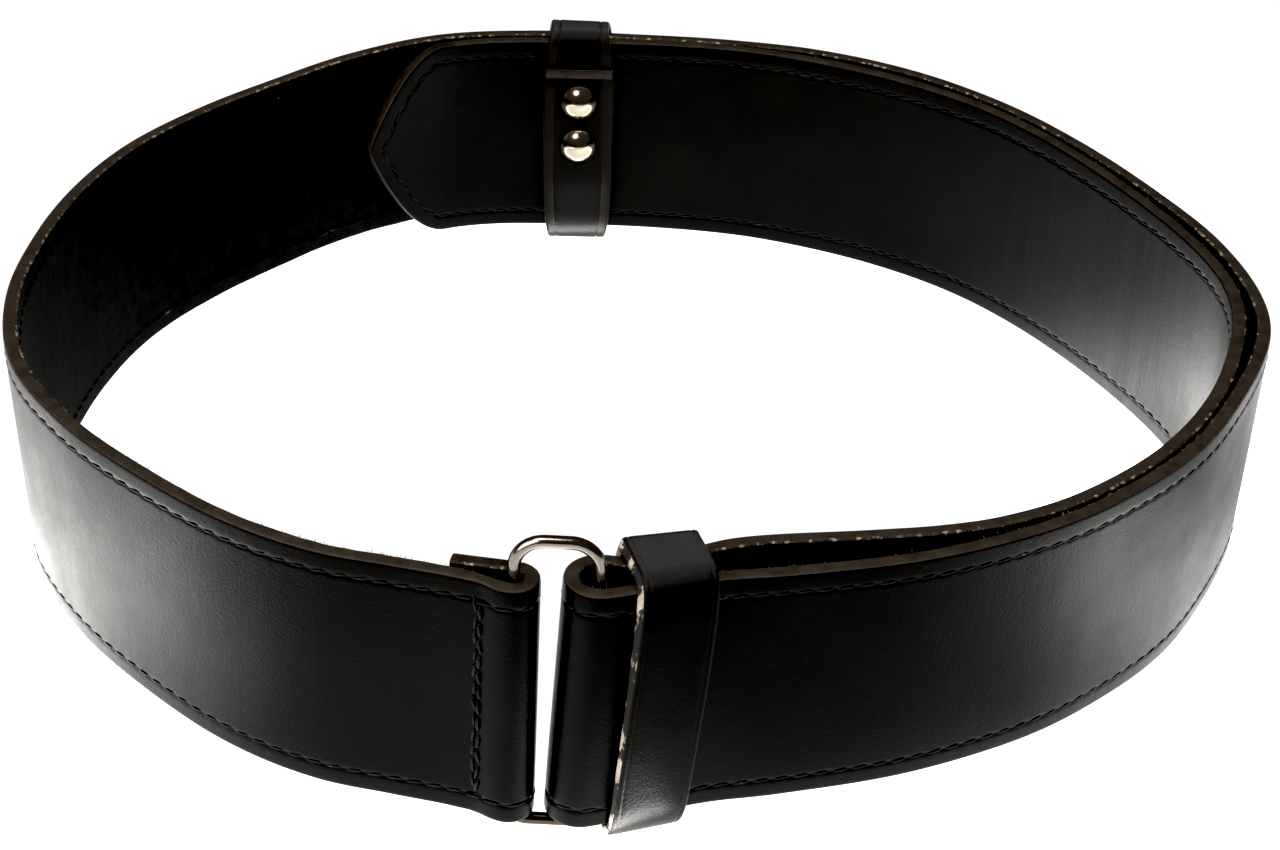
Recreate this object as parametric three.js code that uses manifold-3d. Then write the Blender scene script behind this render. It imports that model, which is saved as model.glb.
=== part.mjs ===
// A kilt belt: one wide leather strap closed into a standing loop round the waist.
// Both ends of the strap fold round a wire ring at the front. The short end is sewn back on
// itself. The long end runs back inside the loop, through two leather keepers, to a pointed tip.
// Millimetres. +X is to the right, +Y is away from the ring, +Z is up.

import * as THREE from 'three';
import Module from 'manifold-3d';
import { mergeVertices } from 'three/addons/utils/BufferGeometryUtils.js';

// Strap
const strap_width = 57;
const strap_thickness = 3.3;
const edge_bevel = 0.6;
const flesh_bevel = 0.25;
const tip_length = 24;
const tip_nose = 2.4;
const tip_above_middle = 2;
const strap_step = 7.5;

// Loop, measured over the outer faces
const loop_width = 293;
const loop_depth = 261;
const overlap_length = 520.3;
const layer_gap = 1.7;

// Ring
const ring_inner_width = 14.3;
const ring_inner_height = 65.2;
const ring_wire = 2.7;
const ring_upper_corner = 6;
const ring_lower_corner = 3.8;
const ring_from_middle = -14.4;
const ring_from_front = 0.2;
const ring_below_strap = 1.2;

// Folds round the ring
const fold_clearance = 0.75;
const loose_clearance = 1.1;
const loose_fold_radius = 4.1;
const flap_length = 14.2;
const flap_gap = 0.35;
const front_lean = 2.6;
const tight_fold_slant = 0.2;
const loose_fold_slant = 2.6;

// Keepers
const keeper_front_width = 16;
const keeper_front_from_fold = 11.4;
const keeper_back_width = 19.6;
const keeper_back_from_tip = 66.8;
const keeper_thickness = 2.2;
const keeper_slack = 1.5;
const keeper_corner = 3;
const keeper_bevel = 0.45;
const lap_gap = 0.3;
const seat_gap = 0.3;
const lap_below_edge = 7;
const lap_tail = 8;
const lap_ramp = 7;
const lap_skive = 3.7;

// Studs
const stud_diameter = 10;
const stud_height = 3.6;
const stud_post = 3;
const stud_spacing = 13.2;
const stud_from_lap_end = 8.7;
const stud_post_short = 0.3;
const stud_hole_clearance = 0.3;
const stud_sides = 24;

// The lower edge of the strap stands this far above the surface under the ring.
const strap_lift = ring_wire + ring_below_strap;

// The strap's outer face, from the sewn fold round the back to the loose fold. "across" is a
// share of half the loop's width, "back" of half its depth, and "lean" is how far the lower
// edge stands outward, as a share of the strap's width.
const outline = [
  { across: -0.222, back: -1.014, lean: 0.045 },
  { across: -0.319, back: -0.989, lean: 0.046 },
  { across: -0.430, back: -0.961, lean: 0.043 },
  { across: -0.560, back: -0.893, lean: 0.034 },
  { across: -0.705, back: -0.774, lean: 0.015 },
  { across: -0.839, back: -0.632, lean: -0.007 },
  { across: -0.945, back: -0.457, lean: -0.026 },
  { across: -0.994, back: -0.253, lean: -0.037 },
  { across: -0.997, back: -0.043, lean: -0.034 },
  { across: -0.972, back: 0.162, lean: -0.021 },
  { across: -0.914, back: 0.356, lean: 0 },
  { across: -0.818, back: 0.530, lean: 0.021 },
  { across: -0.703, back: 0.685, lean: 0.036 },
  { across: -0.575, back: 0.833, lean: 0.040 },
  { across: -0.419, back: 0.948, lean: 0.032 },
  { across: -0.237, back: 0.994, lean: 0.014 },
  { across: -0.053, back: 1.000, lean: -0.009 },
  { across: 0.131, back: 0.995, lean: -0.030 },
  { across: 0.318, back: 0.962, lean: -0.043 },
  { across: 0.495, back: 0.876, lean: -0.045 },
  { across: 0.648, back: 0.742, lean: -0.037 },
  { across: 0.772, back: 0.575, lean: -0.023 },
  { across: 0.875, back: 0.387, lean: -0.008 },
  { across: 0.961, back: 0.182, lean: 0.002 },
  { across: 0.999, back: -0.018, lean: 0.006 },
  { across: 0.990, back: -0.174, lean: 0.004 },
  { across: 0.902, back: -0.415, lean: -0.005 },
  { across: 0.819, back: -0.568, lean: -0.012 },
  { across: 0.700, back: -0.707, lean: -0.018 },
  { across: 0.590, back: -0.803, lean: -0.020 },
  { across: 0.410, back: -0.904, lean: -0.013 },
  { across: 0.223, back: -0.963, lean: 0.003 },
  { across: 0.111, back: -0.989, lean: 0.015 },
];

// The inner layer follows the outer one at a gap. "along" is a share of the overlap, counted
// from the loose fold, "gap" and "foot" are in layer gaps, and "foot" is how much further in
// the lower edge stands.
const layerGaps = [
  { along: 0.020, gap: 2.5, foot: 0 },
  { along: 0.053, gap: 4.35, foot: 0 },
  { along: 0.108, gap: 3.6, foot: 0 },
  { along: 0.138, gap: 2.3, foot: 0 },
  { along: 0.166, gap: 1.15, foot: 0 },
  { along: 0.206, gap: 0.5, foot: 0 },
  { along: 0.27, gap: 0.55, foot: 0 },
  { along: 0.34, gap: 0.8, foot: 0 },
  { along: 0.42, gap: 0.95, foot: 0 },
  { along: 0.52, gap: 1, foot: 0 },
  { along: 0.64, gap: 0.9, foot: 0.18 },
  { along: 0.76, gap: 0.75, foot: 0.65 },
  { along: 0.87, gap: 0.7, foot: 1.3 },
  { along: 0.94, gap: 1.1, foot: 1.76 },
  { along: 1, gap: 1.5, foot: 1.76 },
];

// "at" is the distance along the outer layer from the loose fold to the keeper's middle, "slant"
// how far its top stands to the right of its bottom, as a share of the strap's width, and
// "pinch" the share of its own width that it loses where it bends over the strap's edges.
const keepers = [
  {
    name: 'front',
    at: keeper_front_from_fold,
    width: keeper_front_width,
    slant: 0.067,
    pinch: 0.04,
  },
  {
    name: 'back',
    at: overlap_length - keeper_back_from_tip,
    width: keeper_back_width,
    slant: 0.01,
    pinch: 0.2,
  },
];

const colours = {
  strap: { color: 0x17140f, roughness: 0.42, metalness: 0 },
  keeper: { color: 0x1b1815, roughness: 0.4, metalness: 0 },
  nickel: { color: 0xd8d3c8, roughness: 0.16, metalness: 1 },
};

const material = (look) => new THREE.MeshStandardMaterial(look);
const flat = (x, y) => new THREE.Vector2(x, y);
const leftOf = (v) => flat(-v.y, v.x);
const degrees = THREE.MathUtils.degToRad;
const lerp = THREE.MathUtils.lerp;

// Solids

// Joins rings of equal length into one closed body. An open run gets a cap at each end.
function loft(rings, closed = false) {
  const size = rings[0].length;
  const points = rings.flat();
  const faces = [];
  const links = closed ? rings.length : rings.length - 1;
  for (let i = 0; i < links; i += 1) {
    const here = i * size;
    const next = ((i + 1) % rings.length) * size;
    for (let j = 0; j < size; j += 1) {
      const k = (j + 1) % size;
      faces.push(here + j, next + j, next + k, here + j, next + k, here + k);
    }
  }
  if (!closed) {
    const last = (rings.length - 1) * size;
    for (let j = 1; j < size - 1; j += 1) {
      faces.push(0, j, j + 1);
      faces.push(last, last + j + 1, last + j);
    }
  }
  return solid(points, faces);
}

// A geometry from points and faces, turned so that its faces point out.
function solid(points, faces) {
  let volume = 0;
  const cross = new THREE.Vector3();
  for (let i = 0; i < faces.length; i += 3) {
    const [a, b, c] = [points[faces[i]], points[faces[i + 1]], points[faces[i + 2]]];
    volume += a.dot(cross.crossVectors(b, c));
  }
  const index = volume > 0 ? faces : faces.slice().reverse();
  const geometry = new THREE.BufferGeometry().setFromPoints(points);
  geometry.setIndex(index);
  return geometry;
}

const wasm = await Module();
wasm.setup();

function toManifold(geometry) {
  const bare = geometry.clone();
  bare.deleteAttribute('normal');
  bare.deleteAttribute('uv');
  const merged = mergeVertices(bare);
  const vertProperties = new Float32Array(merged.attributes.position.array);
  const triVerts = new Uint32Array(merged.index.array);
  return new wasm.Manifold(new wasm.Mesh({ numProp: 3, vertProperties, triVerts }));
}

function fromManifold(manifold) {
  const mesh = manifold.getMesh();
  const geometry = new THREE.BufferGeometry();
  geometry.setAttribute('position', new THREE.BufferAttribute(mesh.vertProperties, 3));
  geometry.setIndex(new THREE.BufferAttribute(mesh.triVerts, 1));
  return geometry;
}

// The strap's route, seen from above

const half_strap = strap_thickness / 2;
const outerFace = outline.map((row) => ({
  point: flat((row.across * loop_width) / 2, (row.back * loop_depth) / 2),
  lean: row.lean * strap_width,
}));

// The ring's bars, at the height of the strap's upper edge.
const bar_spacing = ring_inner_width + ring_wire;
const ring_y = -loop_depth / 2 - ring_from_front;
const tightBar = flat(ring_from_middle - bar_spacing / 2, ring_y);
const looseBar = flat(ring_from_middle + bar_spacing / 2, ring_y);

const tight_radius = ring_wire / 2 + fold_clearance + half_strap;
const loose_radius = loose_fold_radius + half_strap;
const loose_back = loose_fold_radius - ring_wire / 2 - loose_clearance;
const looseCentre = flat(looseBar.x, looseBar.y + loose_back);

// Directions of the strap where it meets each fold, as angles round the fold's centre.
const tight_from = 86;
const tight_to = -112;
const loose_from = -68;
const loose_to = -259;

// Points of the strap's middle line round a fold, which turns clockwise.
function foldArc(centre, radius, from, to, slant) {
  const steps = 8;
  const rows = [];
  for (let i = 0; i <= steps; i += 1) {
    const angle = degrees(lerp(from, to, i / steps));
    const point = flat(centre.x + radius * Math.cos(angle), centre.y + radius * Math.sin(angle));
    rows.push({ point, lean: flat(-slant, -front_lean) });
  }
  return rows;
}

// The outward direction of the outer face at each of its rows.
function outwardAt(i) {
  const before = outerFace[Math.max(i - 1, 0)].point;
  const after = outerFace[Math.min(i + 1, outerFace.length - 1)].point;
  return leftOf(after.clone().sub(before).normalize());
}

const outerRows = outerFace.map((row, i) => {
  const out = outwardAt(i);
  const point = row.point.clone().addScaledVector(out, -half_strap);
  return { point, lean: out.clone().multiplyScalar(row.lean) };
});

const tightRows = foldArc(tightBar, tight_radius, tight_from, tight_to, tight_fold_slant);
const looseRows = foldArc(looseCentre, loose_radius, loose_from, loose_to, loose_fold_slant);

// A smooth line through rows, with the lower edge's lean carried along beside it.
function route(rows) {
  const space = (v) => new THREE.Vector3(v.x, v.y, 0);
  const upper = rows.map((row) => space(row.point));
  const lower = rows.map((row) => space(row.point.clone().add(row.lean)));
  const upperCurve = new THREE.CatmullRomCurve3(upper, false, 'centripetal');
  const lowerCurve = new THREE.CatmullRomCurve3(lower, false, 'centripetal');
  const stations = [];
  for (let i = 0; i < rows.length - 1; i += 1) {
    const span = upper[i].distanceTo(upper[i + 1]);
    const parts = Math.max(2, Math.ceil(span / strap_step));
    for (let k = 0; k < parts; k += 1) {
      stations.push((i + k / parts) / (rows.length - 1));
    }
  }
  stations.push(1);
  let run = 0;
  let last = null;
  return stations.map((share) => {
    const top = upperCurve.getPoint(share);
    const bottom = lowerCurve.getPoint(share);
    const tangent = upperCurve.getTangent(share);
    const heading = flat(tangent.x, tangent.y).normalize();
    const point = flat(top.x, top.y);
    run += last ? last.distanceTo(point) : 0;
    last = point;
    return { run, point, out: leftOf(heading), lean: flat(bottom.x - top.x, bottom.y - top.y) };
  });
}

// The place at a distance along a route.
function placeAt(stations, run) {
  let i = 0;
  while (i < stations.length - 2 && stations[i + 1].run < run) {
    i += 1;
  }
  const [a, b] = [stations[i], stations[i + 1]];
  const share = (run - a.run) / (b.run - a.run);
  const mix = (key) => a[key].clone().lerp(b[key], share);
  return { run, point: mix('point'), out: mix('out').normalize(), lean: mix('lean') };
}

// The outer layer alone, from fold to fold, and its inner layer at the tabled gaps.
const outerRoute = route([...outerRows, looseRows[0]]);
const outer_length = outerRoute[outerRoute.length - 1].run;
const gapRow = (row) => {
  const beside = placeAt(outerRoute, outer_length - row.along * overlap_length);
  const shift = strap_thickness + row.gap * layer_gap;
  return {
    point: beside.point.clone().addScaledVector(beside.out, -shift),
    lean: beside.lean.clone().addScaledVector(beside.out, -row.foot * layer_gap),
  };
};
const innerRows = layerGaps.map(gapRow);

// The sewn flap lies against the outer layer and ends square.
const flapEnd = (() => {
  const across = tightBar.x - flap_length;
  const [a, b] = [outerRows[0].point, tightRows[tightRows.length - 1].point];
  const share = (across - a.x) / (b.x - a.x);
  const out = leftOf(a.clone().sub(b).normalize());
  const shift = strap_thickness + flap_gap;
  const point = a.clone().lerp(b, share).addScaledVector(out, -shift);
  return { point, lean: flat(-tight_fold_slant, -front_lean) };
})();

const strapRoute = route([flapEnd, ...tightRows, ...outerRows, ...looseRows, ...innerRows]);
const strap_length = strapRoute[strapRoute.length - 1].run;

// Where the outer layer ends at the loose fold, measured along the whole strap.
const foldStart = nearestRun(looseRows[0].point);
const foldEnd = nearestRun(looseRows[looseRows.length - 1].point);

function nearestRun(point) {
  let best = null;
  for (const station of strapRoute) {
    const away = station.point.distanceTo(point);
    if (!best || away < best.away) {
      best = { away, run: station.run };
    }
  }
  return best.run;
}

// A point on the strap: along it, outward from its middle line, and up from its lower edge.
function onStrap(place, outward, height) {
  const drop = 1 - height / strap_width;
  const x = place.point.x + place.out.x * outward + place.lean.x * drop;
  const y = place.point.y + place.out.y * outward + place.lean.y * drop;
  return new THREE.Vector3(x, y, strap_lift + height);
}

// Strap

// The strap's section at a place: outer face bevelled, inner face almost square.
function strapSection(place, share_of_width) {
  const half = half_strap;
  const middle = strap_width / 2 + tip_above_middle * (1 - share_of_width);
  const rise = (strap_width / 2) * share_of_width;
  const corners = [
    [half, rise - edge_bevel],
    [half - edge_bevel, rise],
    [-half + flesh_bevel, rise],
    [-half, rise - flesh_bevel],
    [-half, -rise + flesh_bevel],
    [-half + flesh_bevel, -rise],
    [half - edge_bevel, -rise],
    [half, -rise + edge_bevel],
  ];
  return corners.map(([outward, up]) => onStrap(place, outward, middle + up));
}

// The pointed tip: half a pointed arch, drawn as a share of the strap's width.
function tipShare(from_end) {
  const along = Math.min(from_end / tip_length, 1);
  const nose = tip_nose / strap_width;
  return nose + (1 - nose) * Math.sin((along * Math.PI) / 2) ** 0.85;
}

function makeStrap() {
  const body = strapRoute.filter((place) => place.run < strap_length - tip_length - 1);
  const rings = body.map((place) => strapSection(place, 1));
  const steps = 12;
  for (let i = 0; i <= steps; i += 1) {
    const from_end = tip_length * (1 - i / steps);
    const place = placeAt(strapRoute, strap_length - from_end);
    rings.push(strapSection(place, tipShare(from_end)));
  }
  return loft(rings);
}

// Ring

// A closed wire frame with rounded corners, standing in the folds and leaning with them.
// The leather's lower edges lie in its lower corners, so these are tighter.
function makeRing() {
  const half_width = bar_spacing / 2;
  const half_height = (ring_inner_height + ring_wire) / 2;
  const corners = [
    { x: 1, z: 1, from: 0, radius: ring_upper_corner },
    { x: -1, z: 1, from: 90, radius: ring_upper_corner },
    { x: -1, z: -1, from: 180, radius: ring_lower_corner },
    { x: 1, z: -1, from: 270, radius: ring_lower_corner },
  ];
  const steps = 6;
  const sides = 12;
  const rings = [];
  for (const corner of corners) {
    for (let i = 0; i <= steps; i += 1) {
      const angle = degrees(corner.from + (90 * i) / steps);
      const outward = new THREE.Vector3(Math.cos(angle), 0, Math.sin(angle));
      const centre = new THREE.Vector3(
        corner.x * (half_width - corner.radius) + corner.radius * outward.x,
        0,
        corner.z * (half_height - corner.radius) + corner.radius * outward.z,
      );
      const ring = [];
      for (let k = 0; k < sides; k += 1) {
        const turn = (2 * Math.PI * k) / sides;
        const point = centre.clone().addScaledVector(outward, (ring_wire / 2) * Math.cos(turn));
        point.y += (ring_wire / 2) * Math.sin(turn);
        ring.push(point);
      }
      rings.push(ring);
    }
  }
  return loft(rings, true);
}

function placeRing(mesh) {
  const tilt = Math.atan2(front_lean, strap_width);
  const half_height = ring_inner_height / 2 + ring_wire;
  const reach = Math.cos(tilt) * (half_height - ring_wire / 2) + ring_wire / 2;
  const below_edge = strap_lift + strap_width - reach;
  mesh.rotation.x = -tilt;
  mesh.position.set(ring_from_middle, ring_y - below_edge * Math.tan(tilt), reach);
}

// Keepers

// The place on the inner layer straight behind a place on the outer one.
function placeBehind(front) {
  const inner = strapRoute.filter((station) => station.run > foldEnd - loose_radius);
  const aside = (station) => station.point.clone().sub(front.point).cross(front.out);
  let best = null;
  for (let i = 0; i < inner.length - 1; i += 1) {
    const [a, b] = [aside(inner[i]), aside(inner[i + 1])];
    if (a * b <= 0 && a !== b) {
      const place = placeAt(strapRoute, lerp(inner[i].run, inner[i + 1].run, a / (a - b)));
      const away = place.point.distanceTo(front.point);
      if (!best || away < best.away) {
        best = { away, place };
      }
    }
  }
  return best.place;
}

// The two faces that a keeper holds, each with the way along the strap towards the loose fold
// and the standoff that lets the keeper's straight skin pass the curved strap.
function holdOf(keeper) {
  const front = placeAt(strapRoute, foldStart - keeper.at);
  const face = (place, way) => {
    const reach = (keeper.width + keeper.slant * strap_width) / 2;
    const bulge = [-1, -0.5, 0.5, 1].flatMap((share) => {
      const beside = placeAt(strapRoute, place.run + share * reach);
      const upper = beside.point.sub(place.point);
      const lower = upper.clone().add(beside.lean).sub(place.lean);
      return [upper.dot(place.out), lower.dot(place.out)];
    });
    const towards_fold = leftOf(place.out).multiplyScalar(way);
    return { place, towards_fold, standoff: Math.max(0, ...bulge) };
  };
  return { front: face(front, -1), back: face(placeBehind(front), 1) };
}

// The keeper's skin, from under its lap, up inside the loop, over the strap, down the outer
// face, under it and up to the lap's end. A row lies on the front (side 1) or the inside (side
// -1), "beyond" the held face, and "up" from the strap's mid-height.
const keeper_skin = keeper_thickness / 2;
const keeper_beyond = seat_gap + keeper_skin;
const lap_beyond = keeper_beyond + keeper_thickness + lap_gap;
const lap_end = strap_width / 2 - lap_below_edge;
const stud_heights = {
  upper: lap_end - stud_from_lap_end,
  lower: lap_end - stud_from_lap_end - stud_spacing,
};

function keeperRoute() {
  const top = strap_width / 2 + keeper_slack + keeper_skin - keeper_corner;
  const tail = stud_heights.lower - lap_tail;
  const rows = [];
  const straight = (side, beyond, up, skive = 0) => {
    rows.push({ side, beyond, up, facing: flat(side, 0), skive });
  };
  const corner = (side, up, from) => {
    const steps = 5;
    for (let i = 0; i <= steps; i += 1) {
      const angle = degrees(from - (90 * i) / steps);
      const facing = flat(Math.cos(angle), Math.sin(angle));
      const beyond = keeper_beyond - keeper_corner * (1 - side * facing.x);
      rows.push({ side, beyond, up: up + keeper_corner * facing.y, facing, skive: 0 });
    }
  };
  straight(-1, keeper_beyond, tail);
  straight(-1, keeper_beyond, (tail + top) / 2);
  corner(-1, top, 180);
  corner(1, top, 90);
  straight(1, keeper_beyond, top / 2);
  straight(1, keeper_beyond, 0);
  straight(1, keeper_beyond, -top / 2);
  corner(1, -top, 0);
  corner(-1, -top, -90);
  straight(-1, keeper_beyond, tail - lap_ramp);
  straight(-1, lap_beyond, tail - keeper_skin);
  straight(-1, lap_beyond, (tail + lap_end) / 2);
  straight(-1, lap_beyond, lap_end - lap_skive);
  straight(-1, lap_beyond, lap_end, 1);
  return rows;
}

// A place on a keeper: across its width towards the fold, and off its skin by a lift.
function onKeeper(keeper, hold, across, row, lift) {
  const bend = Math.abs(row.up) / (strap_width / 2 + keeper_slack + keeper_thickness);
  const narrowed = across * (1 - keeper.pinch * bend ** 4);
  const along = narrowed - keeper.slant * row.up;
  const { place, towards_fold, standoff } = row.side > 0 ? hold.front : hold.back;
  const outward = half_strap + standoff + row.beyond + row.side * row.facing.x * lift;
  const point = onStrap(place, outward, row.up + strap_width / 2);
  point.x += towards_fold.x * along;
  point.y += towards_fold.y * along;
  point.z += row.facing.y * lift;
  return point;
}

function makeKeeper(keeper) {
  const columns = [-1, -0.8, 0, 0.8, 1];
  const half_width = keeper.width / 2;
  const hold = holdOf(keeper);
  const rings = keeperRoute().map((row) => {
    const outside = columns.map((share) => {
      const margin = Math.abs(share) === 1 ? keeper_bevel : 0;
      const lift = keeper_skin - margin - row.skive * keeper_skin;
      return onKeeper(keeper, hold, share * half_width, row, lift);
    });
    const inside = columns.map((share) => {
      return onKeeper(keeper, hold, share * half_width, row, -keeper_skin);
    });
    return [...outside, ...inside.reverse()];
  });
  const studs = Object.entries(stud_heights).map(([name, up]) => {
    return studSeat(keeper, hold, name, up);
  });
  const body = toManifold(loft(rings));
  const cut = studs.reduce((rest, stud) => rest.subtract(toManifold(studHole(stud))), body);
  return { geometry: fromManifold(cut), studs };
}

// Studs

// Where a stud's cap sits on the lap, square to its face.
function studSeat(keeper, hold, name, up) {
  const row = { side: -1, beyond: lap_beyond, up, facing: flat(-1, 0) };
  const face = (rise) => onKeeper(keeper, hold, 0, { ...row, up: up + rise }, keeper_skin);
  const upward = face(1).sub(face(-1));
  const { x, y } = hold.back.towards_fold;
  const axis = new THREE.Vector3(x, y, 0).cross(upward).normalize();
  if (axis.x * hold.back.place.out.x + axis.y * hold.back.place.out.y < 0) {
    axis.negate();
  }
  const base = face(0).addScaledVector(axis, seat_gap);
  const turn = new THREE.Quaternion().setFromUnitVectors(new THREE.Vector3(0, 1, 0), axis);
  return { name, base, turn };
}

function studHole(stud) {
  const radius = stud_post / 2 + stud_hole_clearance;
  const depth = 2 * keeper_thickness + lap_gap + 2 * seat_gap;
  const hole = new THREE.CylinderGeometry(radius, radius, depth + seat_gap, stud_sides / 2);
  hole.translate(0, -(depth - seat_gap) / 2, 0);
  hole.applyQuaternion(stud.turn);
  return hole.translate(stud.base.x, stud.base.y, stud.base.z);
}

function makeStud() {
  const radius = stud_diameter / 2;
  const depth = 2 * keeper_thickness + lap_gap + seat_gap - stud_post_short;
  const rim = 0.5;
  const steps = 7;
  const profile = [flat(0, -depth), flat(stud_post / 2, -depth), flat(stud_post / 2, 0)];
  profile.push(flat(radius - 0.3, 0));
  for (let i = 0; i <= steps; i += 1) {
    const angle = (i / steps) * (Math.PI / 2);
    const across = i === steps ? 0 : radius * Math.cos(angle);
    profile.push(flat(across, rim + (stud_height - rim) * Math.sin(angle)));
  }
  return new THREE.LatheGeometry(profile, stud_sides);
}

// Assembly

const group = new THREE.Group();

function add(name, geometry, look) {
  const mesh = new THREE.Mesh(geometry, material(look));
  mesh.name = name;
  group.add(mesh);
  return mesh;
}

add('strap', makeStrap(), colours.strap);
placeRing(add('ring', makeRing(), colours.nickel));
for (const keeper of keepers) {
  const { geometry, studs } = makeKeeper(keeper);
  add(`keeper_${keeper.name}`, geometry, colours.keeper);
  for (const stud of studs) {
    const mesh = add(`stud_${keeper.name}_${stud.name}`, makeStud(), colours.nickel);
    mesh.position.copy(stud.base);
    mesh.quaternion.copy(stud.turn);
  }
}

// The origin is under the middle of the whole belt, on the surface that it stands on.
group.updateMatrixWorld(true);
const bounds = new THREE.Box3().setFromObject(group, true);
const centre = bounds.getCenter(new THREE.Vector3());
group.position.set(-centre.x, -centre.y, -bounds.min.z);
group.updateMatrixWorld(true);

export default group;
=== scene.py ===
import math

import bpy
import numpy as np
from mathutils import Matrix, Vector


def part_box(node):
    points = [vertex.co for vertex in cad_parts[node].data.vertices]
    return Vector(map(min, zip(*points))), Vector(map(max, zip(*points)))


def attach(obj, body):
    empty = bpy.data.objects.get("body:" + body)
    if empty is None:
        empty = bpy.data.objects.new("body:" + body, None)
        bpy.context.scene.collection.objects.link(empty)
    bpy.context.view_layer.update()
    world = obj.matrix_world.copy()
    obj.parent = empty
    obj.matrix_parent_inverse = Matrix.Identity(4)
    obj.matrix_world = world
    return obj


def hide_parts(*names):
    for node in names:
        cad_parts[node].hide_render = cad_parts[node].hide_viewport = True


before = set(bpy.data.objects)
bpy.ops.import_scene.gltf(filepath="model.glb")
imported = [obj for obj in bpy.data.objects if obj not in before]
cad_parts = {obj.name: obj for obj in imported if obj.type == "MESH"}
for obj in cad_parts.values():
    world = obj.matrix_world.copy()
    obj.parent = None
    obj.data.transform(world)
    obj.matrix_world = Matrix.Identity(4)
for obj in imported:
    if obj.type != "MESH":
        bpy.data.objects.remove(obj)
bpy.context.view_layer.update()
MM = 0.001

# Sizes in millimetres, the same as the solids have

strap_width = 57
strap_thickness = 3.3
half_strap = strap_thickness / 2
mid_height = strap_width / 2
tip_length = 24
tip_nose = 2.4
tip_above_middle = 2
loop_width = 293
loop_depth = 261
overlap_length = 520.3
layer_gap = 1.7

ring_inner_width = 14.3
ring_inner_height = 65.2
ring_wire = 2.7
ring_upper_corner = 6
ring_lower_corner = 3.8
ring_from_middle = -14.4
ring_from_front = 0.2
ring_below_strap = 1.2

fold_clearance = 0.75
loose_clearance = 1.1
loose_fold_radius = 4.1
flap_length = 14.2
flap_gap = 0.35
front_lean = 2.6
tight_fold_slant = 0.2
loose_fold_slant = 2.6

keeper_thickness = 2.2
keeper_slack = 1.5
lap_gap = 0.3
seat_gap = 0.3
lap_below_edge = 7
lap_tail = 8
lap_skive = 3.7

stud_diameter = 10
stud_height = 3.6
stud_spacing = 13.2
stud_from_lap_end = 8.7

strap_lift = ring_wire + ring_below_strap
bar_spacing = ring_inner_width + ring_wire
ring_y = -loop_depth / 2 - ring_from_front

outline = np.array([
    (-0.222, -1.014, 0.045), (-0.319, -0.989, 0.046), (-0.430, -0.961, 0.043),
    (-0.560, -0.893, 0.034), (-0.705, -0.774, 0.015), (-0.839, -0.632, -0.007),
    (-0.945, -0.457, -0.026), (-0.994, -0.253, -0.037), (-0.997, -0.043, -0.034),
    (-0.972, 0.162, -0.021), (-0.914, 0.356, 0), (-0.818, 0.530, 0.021),
    (-0.703, 0.685, 0.036), (-0.575, 0.833, 0.040), (-0.419, 0.948, 0.032),
    (-0.237, 0.994, 0.014), (-0.053, 1.000, -0.009), (0.131, 0.995, -0.030),
    (0.318, 0.962, -0.043), (0.495, 0.876, -0.045), (0.648, 0.742, -0.037),
    (0.772, 0.575, -0.023), (0.875, 0.387, -0.008), (0.961, 0.182, 0.002),
    (0.999, -0.018, 0.006), (0.990, -0.174, 0.004), (0.902, -0.415, -0.005),
    (0.819, -0.568, -0.012), (0.700, -0.707, -0.018), (0.590, -0.803, -0.020),
    (0.410, -0.904, -0.013), (0.223, -0.963, 0.003), (0.111, -0.989, 0.015),
])
layer_gaps = np.array([
    (0.020, 2.5, 0), (0.053, 4.35, 0), (0.108, 3.6, 0), (0.138, 2.3, 0), (0.166, 1.15, 0),
    (0.206, 0.5, 0), (0.27, 0.55, 0), (0.34, 0.8, 0), (0.42, 0.95, 0), (0.52, 1, 0),
    (0.64, 0.9, 0.18), (0.76, 0.75, 0.65), (0.87, 0.7, 1.3), (0.94, 1.1, 1.76),
    (1, 1.5, 1.76),
])
# A keeper's margin is the width of the lighter band along its edges, a painted highlight.
keepers = {
    "front": {"at": 11.4, "width": 16, "slant": 0.067, "pinch": 0.04, "crease": 1.3,
              "margin": 0.31, "mark": 0.1, "cut": 0.55},
    "back": {"at": overlap_length - 66.8, "width": 19.6, "slant": 0.01, "pinch": 0.2,
             "crease": 2.9, "margin": 2.95, "mark": 0.2, "cut": 0.1},
}

# The strap's route, seen from above


def unit(v):
    return v / np.linalg.norm(v, axis=-1, keepdims=True)


def left_of(v):
    return np.stack([-v[..., 1], v[..., 0]], -1)


def eased(share):
    return share * share * (3 - 2 * share)


def spline(points, share):
    """Places on the centripetal Catmull-Rom curve through points, at shares of its rows."""
    points = np.asarray(points, float)
    ends = 2 * points[0] - points[1], 2 * points[-1] - points[-2]
    padded = np.vstack([ends[0], points, ends[1]])
    place = np.clip(share, 0, 1) * (len(points) - 1)
    i = np.minimum(place.astype(int), len(points) - 2)
    w = (place - i)[:, None]
    x0, x1, x2, x3 = (padded[i + k] for k in range(4))
    d0, d1, d2 = (
        np.sqrt(np.linalg.norm(b - a, axis=1, keepdims=True))
        for a, b in ((x0, x1), (x1, x2), (x2, x3))
    )
    t1 = ((x1 - x0) / d0 - (x2 - x0) / (d0 + d1) + (x2 - x1) / d1) * d1
    t2 = ((x2 - x1) / d1 - (x3 - x1) / (d1 + d2) + (x3 - x2) / d2) * d1
    cubic = 2 * x1 - 2 * x2 + t1 + t2
    square = -3 * x1 + 3 * x2 - 2 * t1 - t2
    return x1 + t1 * w + square * w**2 + cubic * w**3


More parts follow.
